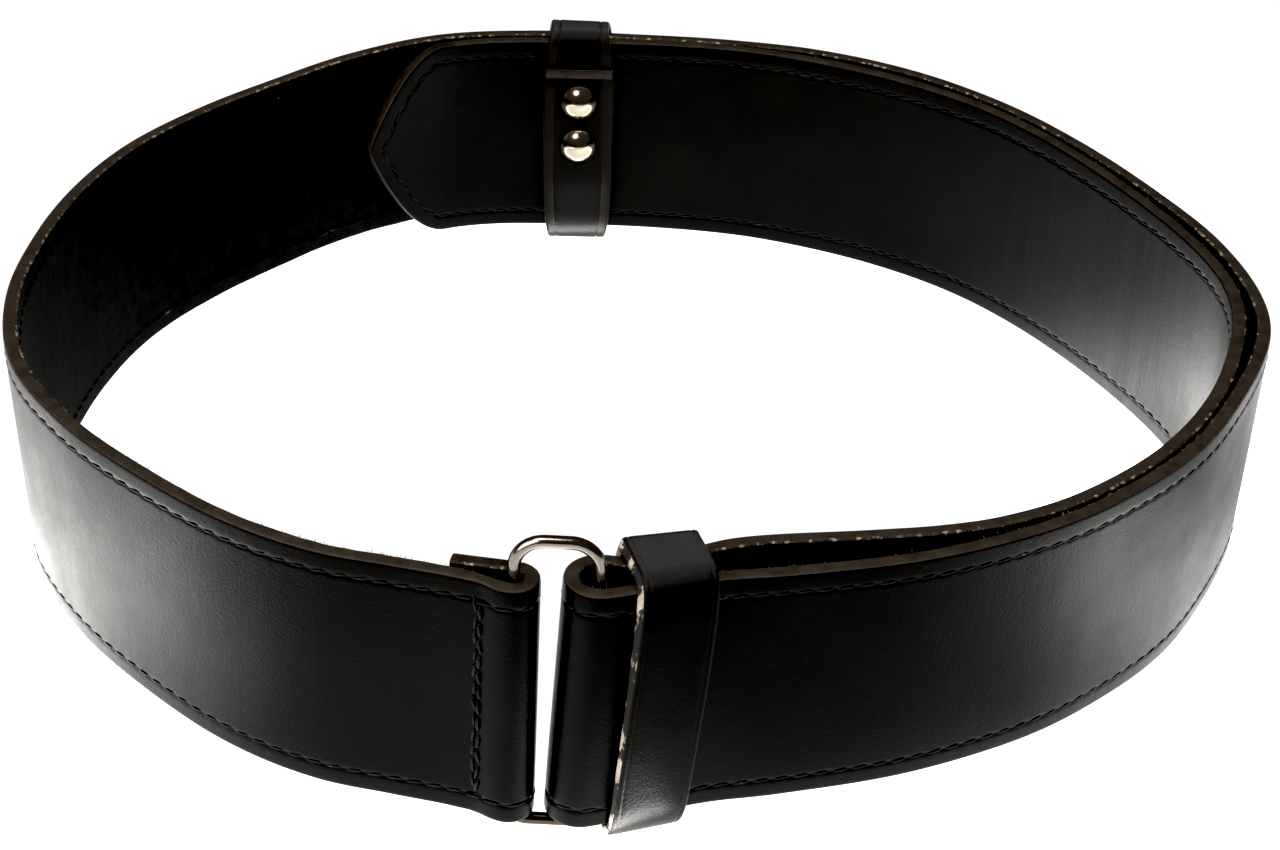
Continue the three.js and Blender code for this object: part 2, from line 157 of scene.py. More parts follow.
def route(rows, step):
    """Stations along a line of rows (x, y, lean x, lean y): run, x, y, out x, out y, leans."""
    upper = rows[:, :2]
    lower = rows[:, :2] + rows[:, 2:]
    spans = np.linalg.norm(np.diff(upper, axis=0), axis=1)
    shares = []
    for i, span in enumerate(spans):
        parts = max(2, math.ceil(span / step))
        shares += [(i + k / parts) / len(spans) for k in range(parts)]
    shares = np.array(shares + [1.0])
    top = spline(upper, shares)
    ahead = spline(upper, shares + 1e-4) - spline(upper, shares - 1e-4)
    out = left_of(unit(ahead))
    steps = np.linalg.norm(np.diff(top, axis=0), axis=1)
    run = np.concatenate([[0], np.cumsum(steps)])
    return np.column_stack([run, top, out, spline(lower, shares) - top])


def place_at(line, run):
    """Point, outward direction and lean at runs along a line of stations."""
    run = np.asarray(run, float)
    cols = [np.interp(run, line[:, 0], line[:, k]) for k in range(1, 7)]
    point, out, lean = (np.stack(cols[k:k + 2], -1) for k in (0, 2, 4))
    return point, unit(out), lean


outer_points = outline[:, :2] * [loop_width / 2, loop_depth / 2]
neighbours = np.vstack([outer_points[:1], outer_points, outer_points[-1:]])
outer_out = left_of(unit(neighbours[2:] - neighbours[:-2]))
outer_rows = np.hstack([
    outer_points - outer_out * half_strap,
    outer_out * outline[:, 2:] * strap_width,
])
tight_bar = np.array([ring_from_middle - bar_spacing / 2, ring_y])
loose_bar = np.array([ring_from_middle + bar_spacing / 2, ring_y])


def fold_arc(centre, radius, start, end, slant):
    """Rows of a fold round the ring, from one angle in degrees to the other."""
    angles = np.radians(np.linspace(start, end, 9))
    points = centre + radius * np.column_stack([np.cos(angles), np.sin(angles)])
    return np.hstack([points, np.tile([-slant, -front_lean], (len(angles), 1))])


tight_radius = ring_wire / 2 + fold_clearance + half_strap
loose_radius = loose_fold_radius + half_strap
loose_centre = loose_bar + [0, loose_fold_radius - ring_wire / 2 - loose_clearance]
tight_rows = fold_arc(tight_bar, tight_radius, 86, -112, tight_fold_slant)
loose_rows = fold_arc(loose_centre, loose_radius, -68, -259, loose_fold_slant)

cad_step = 7.5
fine_step = 0.4
outer_route = route(np.vstack([outer_rows, loose_rows[:1]]), cad_step)
beside, beside_out, beside_lean = place_at(
    outer_route, outer_route[-1, 0] - layer_gaps[:, 0] * overlap_length
)
inner_shift = strap_thickness + layer_gaps[:, 1:2] * layer_gap
inner_rows = np.hstack([
    beside - beside_out * inner_shift,
    beside_lean - beside_out * layer_gaps[:, 2:] * layer_gap,
])


def flap_end():
    """The row at the folded flap's free end, beside the outer layer."""
    a, b = outer_rows[0, :2], tight_rows[-1, :2]
    share = (tight_bar[0] - flap_length - a[0]) / (b[0] - a[0])
    point = a + (b - a) * share - left_of(unit(a - b)) * (strap_thickness + flap_gap)
    return np.array([[*point, -tight_fold_slant, -front_lean]])


strap_rows = np.vstack([flap_end(), tight_rows, outer_rows, loose_rows, inner_rows])
cad_route = route(strap_rows, cad_step)
fine_route = route(strap_rows, fine_step)
strap_length = fine_route[-1, 0]


def run_of(line, point):
    """The run of the station nearest to a point."""
    return line[np.linalg.norm(line[:, 1:3] - point, axis=1).argmin(), 0]


tight_start = run_of(fine_route, tight_rows[0, :2])
tight_end = run_of(fine_route, tight_rows[-1, :2])
fold_start = run_of(cad_route, loose_rows[0, :2])
fold_end = run_of(cad_route, loose_rows[-1, :2])

# The solids' own place: their drawing is moved so that the origin is under their middle.
face_places = place_at(cad_route, cad_route[:, 0])
edges = np.vstack([
    face_places[0] + face_places[1] * half_strap,
    face_places[0] + face_places[1] * half_strap + face_places[2],
])
strap_low, strap_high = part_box("strap")
shift = np.array([
    (strap_low[k] + strap_high[k]) / 2 / MM - (edges[:, k].min() + edges[:, k].max()) / 2
    for k in range(2)
] + [strap_low[2] / MM - strap_lift])


def off_place(place, outward, height):
    """Points off a place on the strap: outward of its middle line and up from its lower edge."""
    point, out, lean = place
    outward, height = np.asarray(outward, float), np.asarray(height, float)
    drop = (1 - height / strap_width)[..., None]
    flat = point + out * outward[..., None] + lean * drop
    up = np.broadcast_to(strap_lift + height, flat.shape[:-1])
    return np.concatenate([flat, up[..., None]], -1)


def on_strap(run, outward, height):
    """The same for a run along the strap, in the frame's own place."""
    return off_place(place_at(fine_route, run), outward, height) + shift


# Meshes


def add_mesh(name, points, faces, materials, slots=None, uv=None, smooth=True):
    mesh = bpy.data.meshes.new(name)
    mesh.from_pydata((np.asarray(points) * MM).tolist(), [], faces)
    for material in materials:
        mesh.materials.append(material)
    if slots is not None:
        mesh.polygons.foreach_set("material_index", np.asarray(slots, np.int32))
    mesh.polygons.foreach_set("use_smooth", np.full(len(mesh.polygons), smooth))
    if uv is not None:
        corners = np.zeros(len(mesh.loops), np.int32)
        mesh.loops.foreach_get("vertex_index", corners)
        layer = mesh.uv_layers.new(name="along")
        layer.data.foreach_set("uv", (uv[corners] * MM).ravel().astype(np.float32))
    mesh.update()
    obj = bpy.data.objects.new(name, mesh)
    bpy.context.scene.collection.objects.link(obj)
    return obj


def grid_faces(rings, size, closed=False, outward=1):
    """Faces between rings of points. An outward of -1 turns them round."""
    faces = []
    for i in range(rings if closed else rings - 1):
        for j in range(size):
            a, b = i * size + j, i * size + (j + 1) % size
            c, d = (np.array([b, a]) + size) % (rings * size)
            faces.append((a, int(d), int(c), b)[::outward])
    return faces


def tubes(name, centres, normals, radii, sides, material):
    """Many short tubes. centres and normals are (tube, step, 3); radii is (tube, step)."""
    ahead = np.gradient(centres, axis=1)
    side = unit(np.cross(ahead, normals))
    up = unit(np.cross(side, ahead))
    turn = np.linspace(0, 2 * np.pi, sides, endpoint=False)
    ring = (
        up[:, :, None] * np.cos(turn)[:, None] + side[:, :, None] * np.sin(turn)[:, None]
    )
    points = centres[:, :, None] + ring * radii[:, :, None, None]
    count, steps = radii.shape
    one = grid_faces(steps, sides, outward=-1)
    one += [tuple(range(sides))[::-1], tuple(range((steps - 1) * sides, steps * sides))]
    faces = [
        tuple(k + i * steps * sides for k in face) for i in range(count) for face in one
    ]
    return add_mesh(name, points.reshape(-1, 3), faces, [material])


def smooth_noise(count, spacing, seed):
    """A smooth random line: one value in -1 to 1 every so many samples, eased between."""
    draw = np.random.default_rng(seed)
    knots = draw.uniform(-1, 1, int(count / spacing) + 3)
    at = np.arange(count) / spacing
    i = at.astype(int)
    w = eased(at - i)
    return knots[i] * (1 - w) + knots[i + 1] * w


# Materials


def new_material(name):
    material = bpy.data.materials.new(name)
    material.use_nodes = True
    nodes = material.node_tree.nodes
    links = material.node_tree.links
    return material, nodes, links, nodes["Principled BSDF"]


def noise(nodes, links, coords, scale, detail, rough):
    node = nodes.new("ShaderNodeTexNoise")
    node.inputs["Scale"].default_value = scale
    node.inputs["Detail"].default_value = detail
    node.inputs["Roughness"].default_value = rough
    links.new(coords, node.inputs["Vector"])
    return node.outputs["Fac"]


def ramp(nodes, links, factor, stops):
    node = nodes.new("ShaderNodeValToRGB")
    elements = node.color_ramp.elements
    while len(elements) < len(stops):
        elements.new(0.5)
    for element, (place, colour) in zip(elements, stops):
        element.position = place
        element.color = (*colour, 1)
    links.new(factor, node.inputs["Fac"])
    return node.outputs["Color"]


def mixed(nodes, links, factor, first, second):
    """One colour fading into another. Each is a colour or another node's socket."""
    node = nodes.new("ShaderNodeMix")
    node.data_type = "RGBA"
    links.new(factor, node.inputs["Factor"])
    for socket, colour in (("A", first), ("B", second)):
        if isinstance(colour, tuple):
            node.inputs[socket].default_value = (*colour, 1)
        else:
            links.new(colour, node.inputs[socket])
    return node.outputs["Result"]


def grey(value):
    return (value, value, value)


def stretch(nodes, links, coords, scale):
    node = nodes.new("ShaderNodeMapping")
    node.inputs["Scale"].default_value = scale
    links.new(coords, node.inputs["Vector"])
    return node.outputs["Vector"]


def bump(nodes, links, height, distance, strength, under=None):
    node = nodes.new("ShaderNodeBump")
    node.inputs["Distance"].default_value = distance * MM
    node.inputs["Strength"].default_value = strength
    links.new(height, node.inputs["Height"])
    if under is not None:
        links.new(under, node.inputs["Normal"])
    return node.outputs["Normal"]


def coordinates(nodes, kind="Object"):
    return nodes.new("ShaderNodeTexCoord").outputs[kind]


def grain_leather(name, dark, light, rough, gloss=1.2, creases=0.0):
    """Smooth dyed grain: fine pebble, faint cloudy shade, and long soft creases across it."""
    material, nodes, links, shader = new_material(name)
    place = coordinates(nodes)
    cells = nodes.new("ShaderNodeTexVoronoi")
    cells.feature = "SMOOTH_F1"
    cells.inputs["Scale"].default_value = 1900
    cells.inputs["Smoothness"].default_value = 0.6
    links.new(place, cells.inputs["Vector"])
    normal = bump(nodes, links, cells.outputs["Distance"], 0.06, 0.5)
    normal = bump(nodes, links, noise(nodes, links, place, 1250, 4, 0.7), 0.14, 0.5, normal)
    if creases:
        along = stretch(nodes, links, coordinates(nodes, "UV"), (95, 9, 1))
        lines = noise(nodes, links, along, 1.0, 3, 0.6)
        normal = bump(nodes, links, lines, 1.2, creases, normal)
    links.new(normal, shader.inputs["Normal"])
    cloud = noise(nodes, links, place, 38, 4, 0.62)
    tone = ramp(nodes, links, cloud, [(0.3, dark), (0.75, light)])
    links.new(tone, shader.inputs["Base Color"])
    patchy = noise(nodes, links, place, 90, 5, 0.65)
    sheen = ramp(nodes, links, patchy, [(0.3, grey(rough - 0.05)), (0.75, grey(rough + 0.07))])
    links.new(sheen, shader.inputs["Roughness"])
    shader.inputs["IOR"].default_value = gloss
    return material


def suede_leather(name, dark, light):
    """The flesh side: matt nap with a faint sheen and darker rubbed clouds."""
    material, nodes, links, shader = new_material(name)
    place = coordinates(nodes)
    normal = bump(nodes, links, noise(nodes, links, place, 1700, 4, 0.75), 0.3, 0.7)
    normal = bump(nodes, links, noise(nodes, links, place, 210, 4, 0.6), 0.5, 0.4, normal)
    links.new(normal, shader.inputs["Normal"])
    cloud = noise(nodes, links, place, 330, 6, 0.75)
    tone = ramp(nodes, links, cloud, [(0.35, dark), (0.72, light)])
    links.new(tone, shader.inputs["Base Color"])
    shader.inputs["Roughness"].default_value = 0.95
    shader.inputs["IOR"].default_value = 1.2
    shader.inputs["Sheen Weight"].default_value = 0.004
    shader.inputs["Sheen Roughness"].default_value = 0.5
    return material


def edge_leather(name, dark, light, fleck, fleck_from, rough):
    """A cut or burnished edge: layers along it, streaks across it, and pale fibre flecks."""
    material, nodes, links, shader = new_material(name)
    place = coordinates(nodes)
    streaks = noise(nodes, links, place, 260, 5, 0.7)
    fine = noise(nodes, links, place, 1400, 3, 0.7)
    normal = bump(nodes, links, fine, 0.15, 0.45)
    normal = bump(nodes, links, streaks, 0.35, 0.4, normal)
    links.new(normal, shader.inputs["Normal"])
    tone = ramp(nodes, links, streaks, [(0.3, dark), (0.66, light)])
    spots = noise(nodes, links, place, 620, 4, 0.62)
    where = ramp(nodes, links, spots, [(fleck_from, grey(0)), (fleck_from + 0.07, grey(1))])
    links.new(mixed(nodes, links, where, tone, fleck), shader.inputs["Base Color"])
    shader.inputs["Roughness"].default_value = rough
    shader.inputs["IOR"].default_value = 1.35
    return material


def raw_edge(name):
    """The keepers' cut edge: undyed cream core showing through worn black in patches."""
    material, nodes, links, shader = new_material(name)
    place = coordinates(nodes)
    fibres = noise(nodes, links, place, 900, 4, 0.75)
    links.new(bump(nodes, links, fibres, 0.3, 0.8), shader.inputs["Normal"])
    patches = noise(nodes, links, stretch(nodes, links, place, (1.5, 1.5, 0.9)), 210, 4, 0.6)
    cream = ramp(nodes, links, fibres, [(0.3, (0.40, 0.35, 0.28)), (0.7, (0.74, 0.68, 0.58))])
    where = ramp(nodes, links, patches, [(0.5, grey(0)), (0.55, grey(1))])
    black = (0.011, 0.010, 0.009)
    links.new(mixed(nodes, links, where, black, cream), shader.inputs["Base Color"])
    shader.inputs["Roughness"].default_value = 0.85
    return material


def waxed_thread(name, rough=0.3, gloss=1.3):
    """Black thread with painted highlights: a few brown and pale spots in its colour stand in for
    glints.
    """
    material, nodes, links, shader = new_material(name)
    place = coordinates(nodes)
    links.new(
        bump(nodes, links, noise(nodes, links, place, 2600, 2, 0.5), 0.1, 0.6),
        shader.inputs["Normal"],
    )
    # Painted highlight: the brown and pale spots are glints put into the thread's colour.
    spots = noise(nodes, links, place, 300, 3, 0.6)
    tone = ramp(nodes, links, spots, [
        (0.45, grey(0.003)), (0.66, (0.018, 0.015, 0.011)), (0.74, (0.16, 0.12, 0.07)),
    ])
    links.new(tone, shader.inputs["Base Color"])
    shader.inputs["Roughness"].default_value = rough
    shader.inputs["IOR"].default_value = gloss
    return material


def nickel_plate(name, tint, rough, painted_shade_height=0.0):
    """Polished nickel with faint wear, and painted shade: it turns dark brown below a height in
    millimetres, for the dark leather it mirrors low down.
    """
    material, nodes, links, shader = new_material(name)
    place = coordinates(nodes)
    links.new(
        bump(nodes, links, noise(nodes, links, place, 240, 3, 0.5), 0.05, 0.25),
        shader.inputs["Normal"],
    )
    cloud = noise(nodes, links, place, 160, 4, 0.6)
    tone = ramp(nodes, links, cloud, [(0.3, [0.86 * c for c in tint]), (0.7, tint)])
    # Painted shade: darker brown towards the bottom, standing in for the dark leather that the
    # wire mirrors there.
    if painted_shade_height:
        parts = nodes.new("ShaderNodeSeparateXYZ")
        links.new(place, parts.inputs["Vector"])
        rise = nodes.new("ShaderNodeMapRange")
        links.new(parts.outputs["Z"], rise.inputs["Value"])
        rise.inputs["From Min"].default_value = 0.5 * painted_shade_height * MM
        rise.inputs["From Max"].default_value = painted_shade_height * MM
        tone = mixed(nodes, links, rise.outputs["Result"], (0.07, 0.05, 0.035), tone)
    links.new(tone, shader.inputs["Base Color"])
    wear = noise(nodes, links, place, 500, 4, 0.6)
    shade = ramp(nodes, links, wear, [(0.35, grey(rough)), (0.75, grey(rough + 0.09))])
    links.new(shade, shader.inputs["Roughness"])
    shader.inputs["Metallic"].default_value = 1
    return material


black_grain = {"dark": (0.0032, 0.0031, 0.0029), "light": (0.0058, 0.0055, 0.0049), "rough": 0.33}
strap_grain = grain_leather("strap_grain", **black_grain, creases=0.07)
inner_grain = grain_leather("inner_grain", **black_grain, creases=0.3)
strap_flesh = suede_leather(
    "strap_flesh", dark=(0.0035, 0.0035, 0.0036), light=(0.0105, 0.0103, 0.0102)
)
strap_rim = edge_leather(
    "strap_rim", dark=(0.027, 0.022, 0.017), light=(0.058, 0.047, 0.037),
    fleck=(0.20, 0.16, 0.11), fleck_from=0.74, rough=0.5,
)
dark_rim = edge_leather(
    "dark_rim", dark=(0.012, 0.010, 0.008), light=(0.036, 0.029, 0.023),
    fleck=(0.16, 0.13, 0.09), fleck_from=0.68, rough=0.5,
)
strap_fray = edge_leather(
    "strap_fray", dark=(0.020, 0.016, 0.012), light=(0.070, 0.056, 0.043),
    fleck=(0.45, 0.37, 0.28), fleck_from=0.55, rough=0.75,
)
keeper_grain = grain_leather(
    "keeper_grain", dark=(0.0052, 0.0051, 0.0049), light=(0.0080, 0.0078, 0.0074),
    rough=0.33, gloss=1.16,
)
keeper_flesh = suede_leather(
    "keeper_flesh", dark=(0.004, 0.004, 0.004), light=(0.012, 0.011, 0.01)
)
# Painted highlight: a lighter copy of the keeper's grain for the bands along its edges, where the
# rounded-off leather catches the light.
keeper_margin_highlight = grain_leather(
    "keeper_margin_highlight", dark=(0.007, 0.0063, 0.0057), light=(0.014, 0.0126, 0.0113),
    rough=0.4, gloss=1.17,
)
keeper_raw = raw_edge("keeper_raw")
keeper_edge = edge_leather(
    "keeper_edge", dark=(0.012, 0.009, 0.008), light=(0.034, 0.025, 0.021),
    fleck=(0.16, 0.12, 0.09), fleck_from=0.7, rough=0.6,
)
thread = waxed_thread("thread")
flesh_thread = waxed_thread("flesh_thread", rough=0.8, gloss=1.15)
# Painted shade: the ring's nickel is tinted darker than the studs' same nickel, for the dark
# leather and room it mirrors; below 16 mm it darkens further.
shaded_ring_nickel = nickel_plate("shaded_ring_nickel", (0.52, 0.47, 0.41), rough=0.12, painted_shade_height=16)
stud_nickel = nickel_plate("stud_nickel", (0.76, 0.68, 0.55), rough=0.12)

# Strap

stitch_pitch = 4.3
stitch_inset = 4.6
groove_depth = 0.3
groove_half_width = 0.36
groove_sway = 0.2
stitch_length = 0.84
stitch_slant = 0.14
bevel = np.array([(0, 1.0), (0.1, 1.3), (0.3, 1.5), (0.6, 1.6), (1.1, 1.645), (1.9, 1.65)])
# Where the rows of faces lie: how far in from the strap's edge on each face, and how far
# outward of its middle on the cut edge.
grain_offsets = [
    0.1, 0.3, 0.6, 1.1, 1.9, 2.7, 3.4, 3.85, 4.2, 4.6, 5.0, 5.35, 5.8, 6.8, 9, 12, 16, 20.5, 25,
]
flesh_offsets = [0.4, 1.2, 3, 4.6, 6.5, 10, 15, 21]
rim_outward = [-1.2, -0.7, -0.1, 0.45, 0.95]
burnished_width = 0.3
# The inner layer is creased between these runs before the strap's end.
creased_from = 420
creased_to = 150


def run_at_x(x, low, high, outward):
    """The run between low and high where a face of the strap passes x in the frame."""
    runs = np.arange(low, high, 0.1)
    points = on_strap(runs, np.full(len(runs), outward), np.full(len(runs), mid_height))
    return runs[np.abs(points[:, 0] - x).argmin()]


seam_x = -30.1
seam_dip = 0.38
seam_dip_reach = 2.4
seam_bottom = 5.4
seam_top = 52
seam_pitch = 3.9
seam_run = run_at_x(seam_x, tight_end, tight_end + 40, half_strap)
flap_seam_run = run_at_x(seam_x, 0, tight_start, half_strap)


def tip_outline(run):
    """Half height, middle height and slope factor of the strap at a run."""
    def share(from_end):
        along = np.clip(from_end / tip_length, 0, 1)
        nose = tip_nose / strap_width
        return nose + (1 - nose) * np.sin(along * np.pi / 2) ** 0.85

    from_end = strap_length - run
    half = mid_height * share(from_end)
    slope = mid_height * (share(from_end + 0.05) - share(from_end - 0.05)) / 0.1
    slant = np.minimum(np.sqrt(1 + slope**2), 3.5)
    return half, mid_height + tip_above_middle * (1 - share(from_end)), slant


def grain_face(off, run):
    """How far the grain face stands out at an offset from the edge."""
    turn = 2 * np.pi * run / stitch_pitch
    stitches = 0.5 + 0.5 * np.cos(turn)
    depth = groove_depth * (0.6 + 0.8 * stitches)
    room = np.clip((tip_outline(run)[0] - stitch_inset) / 3, 0, 1)
    line = stitch_inset + groove_sway * np.sin(turn)
    groove = room * depth * np.exp(-(((off - line) / groove_half_width) ** 2))
    pillow = 0.05 * np.exp(-(((off - 3.1) / 0.9) ** 2)) * (1 - 0.6 * stitches)
    dip = seam_dip * np.exp(-(((run - seam_run) / seam_dip_reach) ** 2))
    return np.interp(off, bevel[:, 0], bevel[:, 1]) - groove + pillow - dip


def make_strap():
    """One closed mesh: rows of columns along the strap, each column at a place round it."""
    body = np.arange(0.5, strap_length - tip_length, stitch_pitch / 4)
    tip = np.linspace(strap_length - tip_length, strap_length, 64)
    runs = np.concatenate([[0, 0.16], body, tip])
    shrink = np.concatenate([[0.45, 0.14], np.zeros(len(runs) - 2)])
    half, middle, slant = tip_outline(runs)
    count = len(runs)
    sway = 0.14 * smooth_noise(count, 34, 3) + 0.06 * smooth_noise(count, 9, 4)
    fray = 0.05 * smooth_noise(count, 2.2, 5) + 0.05 * smooth_noise(count, 6, 6)
    columns = []
    zones = []

    def column(side, off, outward, zone):
        inner = np.maximum(half - (off + shrink) * slant,
                           half * 0.12 * (1.02 - off / mid_height))
        height = middle + side * inner
        reach = (half - inner) / slant
        if zone == "grain":
            out = grain_face(reach, runs)
        elif zone == "flesh":
            out = np.interp(reach, [0.05, 0.35, 0.9], [-1.35, -1.6, -half_strap])
        else:
            out = np.full(count, outward)
            rough = 0.05 * smooth_noise(count, 5, 8 + side) - fray * (outward < -1)
            height = height + side * rough
        out = np.sign(out) * np.maximum(np.abs(out) - shrink, 0.2) + sway * 0.4
        columns.append((out, height))
        zones.append((zone, off))

    for outward in rim_outward:
        column(1, 0, outward, "rim")
    for off in grain_offsets + [mid_height]:
        column(1, off, 0, "grain")
    for off in grain_offsets[::-1]:
        column(-1, off, 0, "grain")
    for outward in rim_outward[::-1]:
        column(-1, 0, outward, "rim")
    for off in flesh_offsets:
        column(-1, off, 0, "flesh")
    for off in [mid_height] + flesh_offsets[::-1]:
        column(1, off, 0, "flesh")
    outwards = np.stack([c[0] for c in columns], 1)
    heights = np.stack([c[1] for c in columns], 1)
    size = len(columns)
    points = on_strap(np.repeat(runs, size), outwards.ravel(), heights.ravel())
    faces = grid_faces(count, size)
    grain, flesh, rim, fray_slot, dyed_rim, creased = range(6)
    plain = []
    for j in range(size):
        (zone, off), (next_zone, next_off) = zones[j], zones[(j + 1) % size]
        kinds = {zone, next_zone}
        if kinds == {"rim", "flesh"}:
            plain.append(fray_slot)
        elif "rim" in kinds or (zone == "grain" and max(off, next_off) <= burnished_width):
            plain.append(rim)
        else:
            plain.append(grain if kinds == {"grain"} else flesh)
    dark = (runs < tight_start + 1) | (runs > strap_length - tip_length - 4)
    bent = (runs > strap_length - creased_from) & (runs < strap_length - creased_to)
    slots = []
    for i in range(count - 1):
        changed = {rim: dyed_rim if dark[i] else rim, grain: creased if bent[i] else grain}
        slots += [changed.get(slot, slot) for slot in plain]
    faces += [tuple(range(size)), tuple(range((count - 1) * size, count * size))[::-1]]
    slots += [dyed_rim, dyed_rim]
    uv = np.column_stack([np.repeat(runs, size), heights.ravel()])
    materials = [strap_grain, strap_flesh, strap_rim, strap_fray, dark_rim, inner_grain]
    return add_mesh("strap_leather", points, faces, materials, slots, uv)


def stitch_path():
    """The stitch line: along the upper edge, round the tip and back along the lower edge."""
    runs = np.concatenate([
        np.arange(2.2, strap_length - tip_length, 0.5),
        np.linspace(strap_length - tip_length, strap_length - 3, 160),
    ])
    half, middle, slant = tip_outline(runs)
    rise = half - stitch_inset * slant
    keep = rise > 0.3
    runs, rise, middle = runs[keep], rise[keep], middle[keep]
    upper = np.column_stack([runs, middle + rise])
    lower = np.column_stack([runs, middle - rise])[::-1]
    path = np.vstack([upper, lower])
    steps = np.linalg.norm(np.diff(path, axis=0), axis=1)
    return np.concatenate([[0], np.cumsum(steps)]), path


def make_stitches(name, face, radius, seed):
    """One row of stitches round a face: 1 is the grain face and -1 the flesh face."""
    draw = np.random.default_rng(seed)
    along, path = stitch_path()
    starts = np.arange(0, along[-1] - stitch_pitch, stitch_pitch)
    count = len(starts)
    share = np.linspace(0, 1, 7)
    jitter = draw.normal(0, 0.12, (count, 2))
    reach = starts[:, None] + stitch_pitch * (
        (1 - stitch_length) / 2 + stitch_length * share + 0.03 * jitter[:, :1]
    )
    run = np.interp(reach, along, path[:, 0])
    height = np.interp(reach, along, path[:, 1])
    side = np.sign(height - mid_height)
    height = height + side * stitch_slant * (1 - 2 * share) + 0.3 * jitter[:, 1:]
    arch = 1 - (2 * share - 1) ** 4
    if face > 0:
        outward = half_strap - groove_depth - 0.12 + 0.3 * arch
    else:
        outward = -half_strap + 0.35 - 0.52 * arch
    outward = np.broadcast_to(outward, run.shape)
    centres = on_strap(run, outward, height)
    out = place_at(fine_route, run)[1] * face
    normals = np.concatenate([out, np.zeros(out.shape[:-1] + (1,))], -1)
    radii = radius * (0.6 + 0.4 * arch) * draw.uniform(0.88, 1.12, (count, 1))
    return tubes(name, centres, normals, radii, 7, thread if face > 0 else flesh_thread)


def seam_stitches(name, run, spread, dip, seed):
    """The heavy seam across the strap that holds the flap: two uneven rows of thick thread."""
    draw = np.random.default_rng(seed)
    centres = []
    radii = []
    share = np.linspace(0, 1, 7)
    for row in (-1, 1):
        for low in np.arange(seam_bottom, seam_top - seam_pitch * 0.6, seam_pitch):
            start = low + draw.uniform(-0.4, 0.4) + (1.3 if row > 0 else 0)
            lean = draw.uniform(-0.8, 0.8)
            along = run + row * spread + lean * (share - 0.5) + draw.normal(0, 0.08)
            height = start + seam_pitch * 0.86 * share
            arch = 1 - (2 * share - 1) ** 4
            outward = half_strap - dip - 0.25 + 0.5 * arch + draw.uniform(-0.08, 0.08)
            centres.append(on_strap(along, outward, height))
            radii.append((0.24 + 0.14 * arch) * draw.uniform(0.75, 1.2))
    centres = np.array(centres)
    out = place_at(fine_route, np.full(centres.shape[:2], run))[1]
    normals = np.concatenate([out, np.zeros(out.shape[:-1] + (1,))], -1)
    return tubes(name, centres, normals, np.array(radii), 8, thread)


strap = make_strap()
grain_stitches = make_stitches("stitches_grain", 1, radius=0.25, seed=21)
flesh_stitches = make_stitches("stitches_flesh", -1, radius=0.27, seed=22)
flap_seam = seam_stitches("flap_seam_outer", seam_run, spread=0.46, dip=seam_dip, seed=31)
flap_seam_inner = seam_stitches("flap_seam_inner", flap_seam_run, spread=0.4, dip=0, seed=32)


def make_fibres(name, count, seed):
    """Loose fibres along the strap's flesh-side corners."""
    draw = np.random.default_rng(seed)
    run = draw.uniform(1, strap_length - tip_length, count)
    side = np.where(draw.random(count) < 0.72, 1, -1)
    edge = np.where(side > 0, strap_width, 0)
    length = draw.uniform(0.25, 0.8, count)
    start = on_strap(run, np.full(count, -half_strap + 0.22), edge - side * 0.15)
    sway = draw.normal(0, 0.35, (count, 3))
    out3 = np.column_stack([place_at(fine_route, run)[1], np.zeros(count)])
    lift = np.array([0, 0, 1.0]) * side[:, None]
    way = unit(lift * draw.uniform(0.1, 0.9, (count, 1)) - out3 * 0.7 + sway)
    bend = draw.normal(0, 0.12, (count, 3))
    share = np.linspace(0, 1, 4)[None, :, None]
    centres = start[:, None] + way[:, None] * length[:, None, None] * share
    centres = centres + bend[:, None] * share**2
    normals = np.broadcast_to(unit(np.cross(way, sway + 0.3))[:, None], centres.shape)
    radii = 0.05 * np.linspace(1, 0.35, 4)[None] * np.ones((count, 1))
    return tubes(name, centres, normals, radii, 3, strap_fray)


fibres = make_fibres("flesh_fibres", count=2600, seed=41)

# Ring


def make_ring():
    """A rectangle of round wire that leans with the folds."""
    half_width = bar_spacing / 2
    half_height = (ring_inner_height + ring_wire) / 2
    steps, sides = 16, 24
    turns = np.linspace(0, 2 * np.pi, sides, endpoint=False)
    tilt = math.atan2(front_lean, strap_width)
    reach = math.cos(tilt) * half_height + ring_wire / 2
    below = strap_lift + strap_width - reach
    rings = []
    for x, z, start in ((1, 1, 0), (-1, 1, 90), (-1, -1, 180), (1, -1, 270)):
        corner = ring_upper_corner if z > 0 else ring_lower_corner
        for i in range(steps + 1):
            angle = math.radians(start + 90 * i / steps)
            out = np.array([math.cos(angle), 0, math.sin(angle)])
            centre = np.array([x * (half_width - corner), 0, z * (half_height - corner)])
            centre = centre + corner * out
            ring = centre + ring_wire / 2 * (
                np.cos(turns)[:, None] * out + np.sin(turns)[:, None] * [0, 1, 0]
            )
            rings.append(ring)
    points = np.array(rings).reshape(-1, 3)
    c, s = math.cos(-tilt), math.sin(-tilt)
    turned = np.column_stack([
        points[:, 0], points[:, 1] * c - points[:, 2] * s, points[:, 1] * s + points[:, 2] * c
    ])
    place = np.array([ring_from_middle, ring_y - below * math.tan(tilt), reach])
    faces = grid_faces(len(rings), sides, closed=True, outward=-1)
    return add_mesh("ring_wire", turned + place + shift, faces, [shaded_ring_nickel])


ring = make_ring()

# Keepers

keeper_skin = keeper_thickness / 2
keeper_beyond = seat_gap + keeper_skin
keeper_stand = 0.7
keeper_swell = 0.7
keeper_row_step = 1.5
keeper_wear_height = 31
